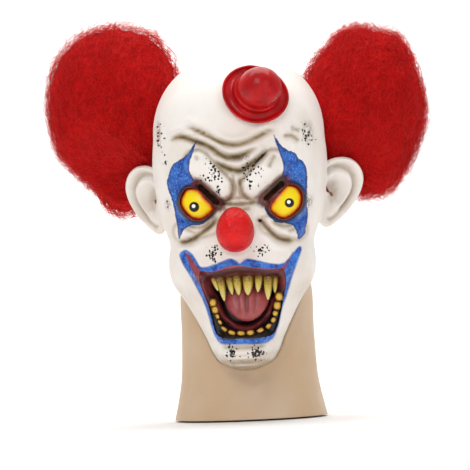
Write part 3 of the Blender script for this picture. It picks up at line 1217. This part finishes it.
fangs = {
    "width": 8.5, "length": 26.0,
    # root across, root up, lean, width share, length share
    "rows": (
        (-31, -73, 6, 0.70, 0.55), (-23.5, -72.4, 5, 0.90, 1.00), (-14, -73, 4, 0.90, 0.74), (-5, -72, 2,
            1.10, 0.80),
        (8, -72, -1, 1.35, 0.82), (20, -72.6, -2, 0.95, 0.68), (29.5, -73.2, -1, 1.05, 1.00), (37, -74.4, -1,
            0.70, 0.68)),
}
lowerTeeth = {
    "width": 8.5, "height": 8.0,
    # share along the gum, width share, height share
    "rows": (
        (0.035, 1.10, 1.25), (0.115, 1.05, 1.15), (0.185, 0.70, 0.85), (0.245, 0.70, 0.75), (0.315, 0.80,
            0.75),
        (0.395, 0.95, 0.70), (0.480, 0.95, 0.85), (0.560, 1.00, 0.75), (0.640, 1.00, 0.70), (0.720, 0.95,
            0.60),
        (0.790, 0.70, 0.55), (0.845, 0.70, 0.60), (0.905, 0.95, 1.05), (0.970, 1.00, 1.10)),
}


def toothMaterial(name, tip, middle, root):
    # cast latex teeth, painted bone and glazed, with brown stain washed up from the gum and round their sides
    material, tree, shader = newMaterial(name, {
        "Roughness": 0.28,
        "Specular IOR Level": 0.4,
        "Coat Weight": 0.25,
        "Coat Roughness": 0.1,
    })
    place = addNode(tree, "TexCoord")
    stain = addNode(tree, "Math",
        (addNode(tree, "Math", (addNode(tree, "TexNoise", (place, 1000 / 2.2, 4.0, 0.65)), 0.5),
            operation="SUBTRACT"), 0.9), operation="MULTIPLY")
    along = addNode(tree, "Math", (addNode(tree, "Attribute", attribute_name="fromRoot"), stain),
        operation="ADD")
    color = addNode(tree, "ValToRGB", (along,),
        stops=((0.0, "241405"), (0.2, root), (0.46, middle), (0.8, tip), (1.0, tip)))
    color = addNode(tree, "Mix",
        (addNode(tree, "Math", (addNode(tree, "Attribute", attribute_name="edge"), stain),
            operation="ADD", use_clamp=True), color, root))
    tree.links.new(color, shader.inputs["Base Color"])
    tree.links.new(addNode(tree, "Bump",
        (addNode(tree, "TexNoise", (place, 1000 / 1.6, 3.0, 0.6)), 0.25 * mm, 0.6)),
        shader.inputs["Normal"])
    return material


def joinMeshes(meshes, name):
    bm = bmesh.new()
    for mesh in meshes:
        bm.from_mesh(mesh)
    joined = bpy.data.meshes.new(name)
    bm.to_mesh(joined)
    bm.free()
    return joined


def buildFangs():
    meshes = []
    for px, pz, lean, wide, long in fangs["rows"]:
        x, z = px * mm, eyeLine + pz * mm
        radius = wide * fangs["width"] / 2 * mm
        length = long * fangs["length"] * mm
        bm = bmesh.new()
        bmesh.ops.create_uvsphere(bm, u_segments=24, v_segments=24, radius=1.0)
        mesh = meshFrom(bm, "fang")
        points = readPoints(mesh)
        down = (1 - points[:, 2]) / 2
        around = np.hypot(points[:, 0], points[:, 1])
        body = np.sqrt(np.clip(down / 0.16, 0, 1)) * np.clip(1 - down**2.4, 0, 1) ** 0.60
        body = body * radius * 1.16
        safe = np.maximum(around, 1e-9)
        ridge = 1 + 0.05 * np.cos(5 * np.arctan2(points[:, 1], points[:, 0]))
        y = float(liningFront(x, z)[0])
        placed = np.stack([x + points[:, 0] / safe * body * ridge + lean * mm * down,
                           y + 0.003 + points[:, 1] / safe * body * 0.85 * ridge - 0.10 * length * down**2,
                           z + 0.004 - down * (length + 0.004)], axis=-1)
        writePoints(mesh, placed)
        storeValues(mesh, "fromRoot", down)
        storeValues(mesh, "edge", 0.85 * ease(0.62, 1.0, np.abs(points[:, 0]) / safe))
        meshes.append(mesh)
    mesh = joinMeshes(meshes, "upperFangs")
    finishPiece("upperFangs", mesh, toothMaterial("glazedBoneTeeth", "DCCB74", "C2A436", "6A4510"),
                [f"upper_fang_{i}" for i in range(1, len(fangs["rows"]) + 1)], 0)
    tell("fangs")


def buildLowerTeeth():
    meshes = []
    line = faceLine(mouth["lowerGum"])
    steps = np.concatenate([[0], np.cumsum(np.hypot(*np.diff(line, axis=0).T))])
    cx, cz = mouth["centre"][0] * mm, eyeLine + mouth["centre"][1] * mm
    for number, (along, wide, tall) in enumerate(lowerTeeth["rows"]):
        x = float(np.interp(along * steps[-1], steps, line[:, 0]))
        z = float(np.interp(along * steps[-1], steps, line[:, 1]))
        turn = math.atan2(z - cz, x - cx)
        bm = bmesh.new()
        bmesh.ops.create_cube(bm, size=1.0)
        bmesh.ops.subdivide_edges(bm, edges=bm.edges, cuts=7, use_grid_fill=True)
        mesh = meshFrom(bm, "tooth")
        points = readPoints(mesh)
        # a cube pushed out to a rounded block, with a worn dip and cusps on its crown
        length = np.linalg.norm(points, axis=1, keepdims=True)
        ball = points / length * 0.5
        points = points * 0.30 + ball * 0.70 * 1.15
        crown = ease(0.15, 0.45, -points[:, 1])
        cusps = 0.10 * np.cos(points[:, 0] * 11 + number) * np.cos(points[:, 2] * 9)
        points[:, 1] += crown * (cusps + 0.10 * hump(np.hypot(points[:, 0], points[:, 2]), 0.22))
        fromRoot = np.clip(0.5 - points[:, 1], 0, 1)
        edge = 0.8 * ease(0.26, 0.50, np.hypot(points[:, 0], points[:, 2]))
        points *= np.array([wide * lowerTeeth["width"], 1.15 * tall * lowerTeeth["height"],
                            0.85 * tall * lowerTeeth["height"]]) * mm
        spin = np.array(Matrix.Rotation(-(turn + math.pi / 2), 3, "Y"))
        points = points @ spin.T
        y = float(liningFront(x, z)[0])
        writePoints(mesh, points + np.array([x, y - 0.0008, z]))
        storeValues(mesh, "fromRoot", fromRoot)
        storeValues(mesh, "edge", edge)
        meshes.append(mesh)
    mesh = joinMeshes(meshes, "lowerTeeth")
    finishPiece("lowerTeeth", mesh, toothMaterial("glazedGoldMolars", "E2B23C", "CE8F24", "5E340A"),
                [f"lower_tooth_{i}" for i in range(1, len(lowerTeeth["rows"]) + 1)], 0)
    tell("lower teeth")


tongue = {"place": (5, -100), "width": 48.0, "length": 46.0, "thick": 18.0, "lean": -24.0}


def tongueMaterial():
    # soft latex painted flesh pink, stippled, then varnished wet
    material, tree, shader = newMaterial("varnishedTongueLatex", {
        "Roughness": 0.32,
        "Specular IOR Level": 0.4,
        "Coat Weight": 0.2,
        "Coat Roughness": 0.12,
    })
    place = addNode(tree, "TexCoord")
    color = addNode(tree, "Mix",
        (addNode(tree, "TexNoise", (place, 1000 / 9, 4.0, 0.6)), "8F3537", "B85A59"))
    color = addNode(tree, "Mix", (addNode(tree, "Attribute", attribute_name="groove"), color, "5A171B"))
    tree.links.new(color, shader.inputs["Base Color"])
    buds = addNode(tree, "TexVoronoi", (place, 1000 / 1.5)).node
    stippled = addNode(tree, "Bump", (buds.outputs["Distance"], 0.35 * mm, 0.6))
    tree.links.new(stippled, shader.inputs["Normal"])
    tree.links.new(stippled, shader.inputs["Coat Normal"])
    return material


def buildTongue():
    px, pz = tongue["place"]
    x, z = px * mm, eyeLine + pz * mm
    bm = bmesh.new()
    bmesh.ops.create_uvsphere(bm, u_segments=96, v_segments=64, radius=1.0)
    mesh = meshFrom(bm, "tongue")
    points = readPoints(mesh)
    across, deep, high = points.T
    narrow = 1 - 0.22 * np.maximum(0, -high)
    groove = np.where(deep < 0, 0.20 * hump(across, 0.10) + 0.10 * hump(np.abs(across) - 0.42, 0.10), 0)
    groove *= ease(-0.95, -0.5, high)
    shaped = np.stack([across * tongue["width"] / 2 * narrow, (deep + groove) * tongue["thick"] / 2,
                       high * tongue["length"] / 2], axis=-1) * mm
    lean = np.array(Matrix.Rotation(math.radians(tongue["lean"]), 3, "X"))
    y = float(faceFront(x, z)[0]) + mouth["depth"] * mm - 0.30 * tongue["thick"] * mm
    writePoints(mesh, shaped @ lean.T + np.array([x, y, z]))
    storeValues(mesh, "groove", np.clip(groove * 4, 0, 1))
    finishPiece("tongue", mesh, tongueMaterial(), ["tongue"], 0)
    tell("tongue")


# ---- hair ----

hair = {
    "reach": 76.0, "height": 110.0, "thickness": 64.0, "back": 0.64, "up": 104.0,
    "coreShare": 0.90, "doublings": 11, "piecesPerTuft": 3, "fibreWidth": 0.34, "fibrePoints": 9,
    "tufts": {
        "left": (-147.0, (
            (0, 0.93), (18, 1.00), (42, 1.03), (57, 1.03), (77, 1.01), (95, 1.03), (116, 1.10), (133, 1.18),
            (144, 1.20), (159, 1.20), (180, 1.22), (215, 1.12), (240, 1.03), (252, 1.04), (272, 0.95),
            (287, 0.80), (311, 0.77), (332, 0.84), (347, 0.90), (360, 0.93))),
        "right": (137.5, (
            (0, 0.97), (18, 0.95), (38, 0.97), (54, 0.98), (71, 0.91), (88, 0.91), (109, 0.92), (125, 0.90),
            (145, 0.94), (161, 1.00), (180, 1.14), (215, 1.06), (250, 0.98), (272, 0.92), (280, 0.94),
            (293, 0.94), (312, 0.90), (334, 0.91), (347, 0.95), (360, 0.97))),
    },
}


def tuftSurface(name, ways):
    # where the tuft's outside lies along each way from its middle
    across, outline = hair["tufts"][name]
    side = -1 if across < 0 else 1
    centre = np.array([across * mm, hair["back"] * head["halfDepth"] * mm, eyeLine + hair["up"] * mm])
    angle = np.degrees(np.arctan2(ways[:, 2], side * ways[:, 0])) % 360
    share = readCurve(outline, angle)[..., 0]
    flat = np.hypot(ways[:, 0], ways[:, 2])
    share = share * flat + (1 - flat)
    sizes = np.array([hair["reach"], hair["thickness"], hair["height"]]) * mm
    return centre, centre + ways * sizes * share[:, None]


def hairMaterial():
    # crimped synthetic wig fibre: saturated red with a dull sheen, darker where the strands lie deep
    material, tree, shader = newMaterial("crimpedWigFibre", {
        "Roughness": 0.55,
        "Specular IOR Level": 0.25,
    })
    color = addNode(tree, "Mix", (addNode(tree, "Attribute", attribute_name="strand"), "C60509", "F01D14"))
    color = addNode(tree, "Mix",
        (addNode(tree, "MapRange", (addNode(tree, "Attribute", attribute_name="fromRoot"), 0.35, 0.0)),
            color, "A80407"))
    tree.links.new(color, shader.inputs["Base Color"])
    return material


def coreMaterial():
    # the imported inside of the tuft: crimped fibre seen as fine wisps, drawn coarser than the real strands
    material, tree, shader = newMaterial("packedWigFibre", {
        "Roughness": 0.8,
        "Specular IOR Level": 0.15,
    })
    laid = addNode(tree, "Mapping", (addNode(tree, "TexCoord"), (1.0, 1.0, 2.6)))
    streak = addNode(tree, "TexNoise", (laid, 1000 / 2.6, 7.0, 0.8, 1.6))
    clump = addNode(tree, "TexNoise", (laid, 1000 / 26, 3.0, 0.6, 1.0))
    color = addNode(tree, "Mix", (addNode(tree, "MapRange", (streak, 0.34, 0.62)), "A00407", "E2100D"))
    color = addNode(tree, "Mix",
        (addNode(tree, "Math", (addNode(tree, "MapRange", (clump, 0.58, 0.36)), 0.35),
            operation="MULTIPLY"), color, "9C0406"))
    tree.links.new(color, shader.inputs["Base Color"])
    tree.links.new(addNode(tree, "Bump",
        (streak, 1.2 * mm, 0.9, addNode(tree, "Bump", (clump, 3.0 * mm, 0.5)))), shader.inputs["Normal"])
    return material


def fibreMesh(paths, width, strand, name):
    # one closed three-sided rod, doubled until there is one for each path, then each laid along its path
    points = paths.shape[1]
    bm = bmesh.new()
    bmesh.ops.create_cone(bm, segments=3, radius1=0.2, radius2=0.2, depth=points - 1, cap_ends=True)
    bmesh.ops.translate(bm, verts=bm.verts, vec=(0, 0, (points - 1) / 2))
    sides = [edge for edge in bm.edges if abs(edge.verts[0].co.z - edge.verts[1].co.z) > 1]
    bmesh.ops.subdivide_edges(bm, edges=sides, cuts=points - 2, use_grid_fill=True)
    for power in range(hair["doublings"]):
        made = bmesh.ops.duplicate(bm, geom=bm.verts[:] + bm.edges[:] + bm.faces[:])
        bmesh.ops.translate(bm, vec=(2.0**power, 0, 0),
                            verts=[v for v in made["geom"] if isinstance(v, bmesh.types.BMVert)])
    mesh = bpy.data.meshes.new(name)
    bm.to_mesh(mesh)
    bm.free()
    rods = readPoints(mesh)
    which = np.round(rods[:, 0]).astype(int)
    ring = np.clip(np.round(rods[:, 2]).astype(int), 0, points - 1)
    corner = np.arctan2(rods[:, 1], rods[:, 0] - which)
    along = np.gradient(paths, axis=1)
    along /= np.linalg.norm(along, axis=2, keepdims=True)
    first = np.cross(along, np.array([0.31, 0.17, 0.93]))
    first /= np.linalg.norm(first, axis=2, keepdims=True)
    second = np.cross(along, first)
    thick = np.sin(np.linspace(0.25, 0.86, points) * math.pi)[ring] * width / 2
    placed = paths[which, ring] + (np.cos(corner) * thick)[:, None] * first[which, ring] + (
        np.sin(corner) * thick)[:, None] * second[which, ring]
    writePoints(mesh, placed)
    bm = bmesh.new()
    bm.from_mesh(mesh)
    bmesh.ops.recalc_face_normals(bm, faces=bm.faces)
    bm.to_mesh(mesh)
    bm.free()
    storeValues(mesh, "strand", strand[which])
    storeValues(mesh, "fromRoot", ring / (points - 1))
    return mesh


def fibrePaths(name, chance, wanted):
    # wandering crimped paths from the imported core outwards, none through the head or an ear
    found = []
    while sum(len(part) for part in found) < wanted:
        count = wanted
        ways = chance.normal(size=(count, 3))
        ways /= np.linalg.norm(ways, axis=1, keepdims=True)
        t = np.linspace(0, 1, hair["fibrePoints"])[None, :, None]
        drift = chance.normal(size=(count, 3))
        drift -= (drift * ways).sum(axis=1, keepdims=True) * ways
        drift *= chance.uniform(0.08, 0.26, (count, 1))
        side = np.cross(ways, chance.normal(size=(count, 3)))
        side /= np.linalg.norm(side, axis=1, keepdims=True)
        other = np.cross(ways, side)
        turns = chance.uniform(0.9, 1.9, (count, 1, 1)) * 2 * math.pi
        phase = chance.uniform(0, 2 * math.pi, (count, 1, 1))
        curl = chance.uniform(0.018, 0.050, (count, 1, 1))
        heading = (ways[:, None] + drift[:, None] * t + curl * np.cos(turns * t + phase) * side[:, None]
                   + curl * np.sin(turns * t + phase) * other[:, None])
        heading /= np.linalg.norm(heading, axis=2, keepdims=True)
        centre, surface = tuftSurface(name, heading.reshape(-1, 3))
        outward = (surface - centre).reshape(heading.shape)
        low = chance.uniform(0.86, 0.93, (count, 1, 1))
        high = chance.triangular(0.93, 0.98, 1.07, (count, 1, 1))
        share = low + (high - low) * t**0.8
        paths = centre + outward * share
        flat = paths.reshape(-1, 3)
        up = (flat[:, 2] - eyeLine) / (head["halfHeight"] * mm)
        reach = baseReach(np.arctan2(flat[:, 0], -flat[:, 1]), up)
        hidden = (np.hypot(flat[:, 0], flat[:, 1]) < reach + 0.0015) & (up < crownTop)
        paths = behindEar(name, flat, ears["back"] + 2.5).reshape(paths.shape)
        found.append(paths[~hidden.reshape(count, -1).any(axis=1)])
    return np.concatenate(found)[:wanted]


def buildHair():
    material = hairMaterial()
    packed = coreMaterial()
    for order, name in enumerate(hair["tufts"]):
        chance = np.random.default_rng(41 + order)
        bm = bmesh.new()
        bmesh.ops.create_icosphere(bm, subdivisions=6, radius=1.0)
        mesh = meshFrom(bm, "core")
        ways = readPoints(mesh)
        centre, surface = tuftSurface(name, ways)
        seeds = chance.normal(size=(700, 3))
        seeds /= np.linalg.norm(seeds, axis=1, keepdims=True)
        near = (ways @ seeds.T).max(axis=1)
        clump = np.exp((near - 1) / 0.004)
        rough = chance.normal(size=len(ways)) * 0.004
        share = hair["coreShare"] + 0.035 * (clump - 0.5) + rough
        writePoints(mesh, behindEar(name, centre + (surface - centre) * share[:, None], ears["back"] + 4.0))
        finishPiece("hairCore" + name.capitalize(), mesh, packed, ["hair_tuft_" + name], 0)
        for part in range(hair["piecesPerTuft"]):
            count = 2 ** hair["doublings"]
            fibre = fibreMesh(fibrePaths(name, chance, count), hair["fibreWidth"] * mm, chance.random(count),
                              "fibres")
            finishPiece(f"hairFibres{name.capitalize()}{part + 1}", fibre, material, [], 0)
    tell("hair")


# ---- stage ----

def buildStage():
    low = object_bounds()[0][2] - studio["floorDrop"]
    bm = bmesh.new()
    # floor that curves up into a wall behind
    line = [bm.verts.new((-4, -3.5, low)), bm.verts.new((-4, 1.4, low))]
    for i in range(1, 13):
        angle = math.pi / 2 * i / 12
        line.append(bm.verts.new((-4, 1.4 + 0.8 * math.sin(angle), low + 0.8 * (1 - math.cos(angle)))))
    line.append(bm.verts.new((-4, 2.2, low + 5)))
    edges = [bm.edges.new(pair) for pair in zip(line, line[1:])]
    made = bmesh.ops.extrude_edge_only(bm, edges=edges)
    bmesh.ops.translate(bm, vec=(8, 0, 0), verts=[v for v in made["geom"] if isinstance(v,
        bmesh.types.BMVert)])
    bmesh.ops.recalc_face_normals(bm, faces=bm.faces)
    mesh = bpy.data.meshes.new("backdrop")
    bm.to_mesh(mesh)
    bm.free()
    mesh.shade_smooth()
    backdrop = bpy.data.objects.new("backdrop", mesh)
    bpy.context.scene.collection.objects.link(backdrop)
    material, tree, shader = newMaterial("matteBackdropPaper", {
        "Roughness": 0.9,
    })
    place = addNode(tree, "TexCoord")
    tree.links.new(addNode(tree, "Mix",
        (addNode(tree, "TexNoise", (place, 1000 / 400, 2.0, 0.5)), studio["floorColor"], "F7F6F5")),
        shader.inputs["Base Color"])
    mesh.materials.append(material)
    for name, (energy, size, where, aim) in studio["lights"].items():
        light = bpy.data.lights.new(name, "AREA")
        light.energy = energy
        light.size = size
        lamp = bpy.data.objects.new(name, light)
        lamp.location = where
        lamp.rotation_euler = (Vector(aim) - Vector(where)).to_track_quat("-Z", "Y").to_euler()
        bpy.context.scene.collection.objects.link(lamp)
    world = bpy.data.worlds.new("softStudio")
    world.use_nodes = True
    world.node_tree.nodes["Background"].inputs[0].default_value = (1, 1, 1, 1)
    world.node_tree.nodes["Background"].inputs[1].default_value = studio["sky"]
    bpy.context.scene.world = world
    bpy.context.scene.view_settings.view_transform = "Standard"      # paint colours come out as mixed
    azimuth = math.radians(studio["azimuth"])
    target = Vector(studio["target"])
    way = Vector((math.sin(azimuth), -math.cos(azimuth), 0))
    lens = bpy.data.cameras.new("camera")
    lens.sensor_width = 36
    lens.lens = 36 * studio["distance"] / studio["frameWidth"]
    lens.clip_end = 30
    camera = bpy.data.objects.new("camera", lens)
    camera.location = target + way * studio["distance"]
    look = (-way).to_track_quat("-Z", "Y").to_matrix()
    camera.rotation_euler = (Matrix.Rotation(math.radians(studio["roll"]), 3, -way) @ look).to_euler()
    bpy.context.scene.collection.objects.link(camera)
    bpy.context.scene.camera = camera
    tell("stage")


buildStage()
buildSkin()
buildEyes()
buildNose()
buildHat()
buildLining()
buildFangs()
buildLowerTeeth()
buildTongue()
buildHair()
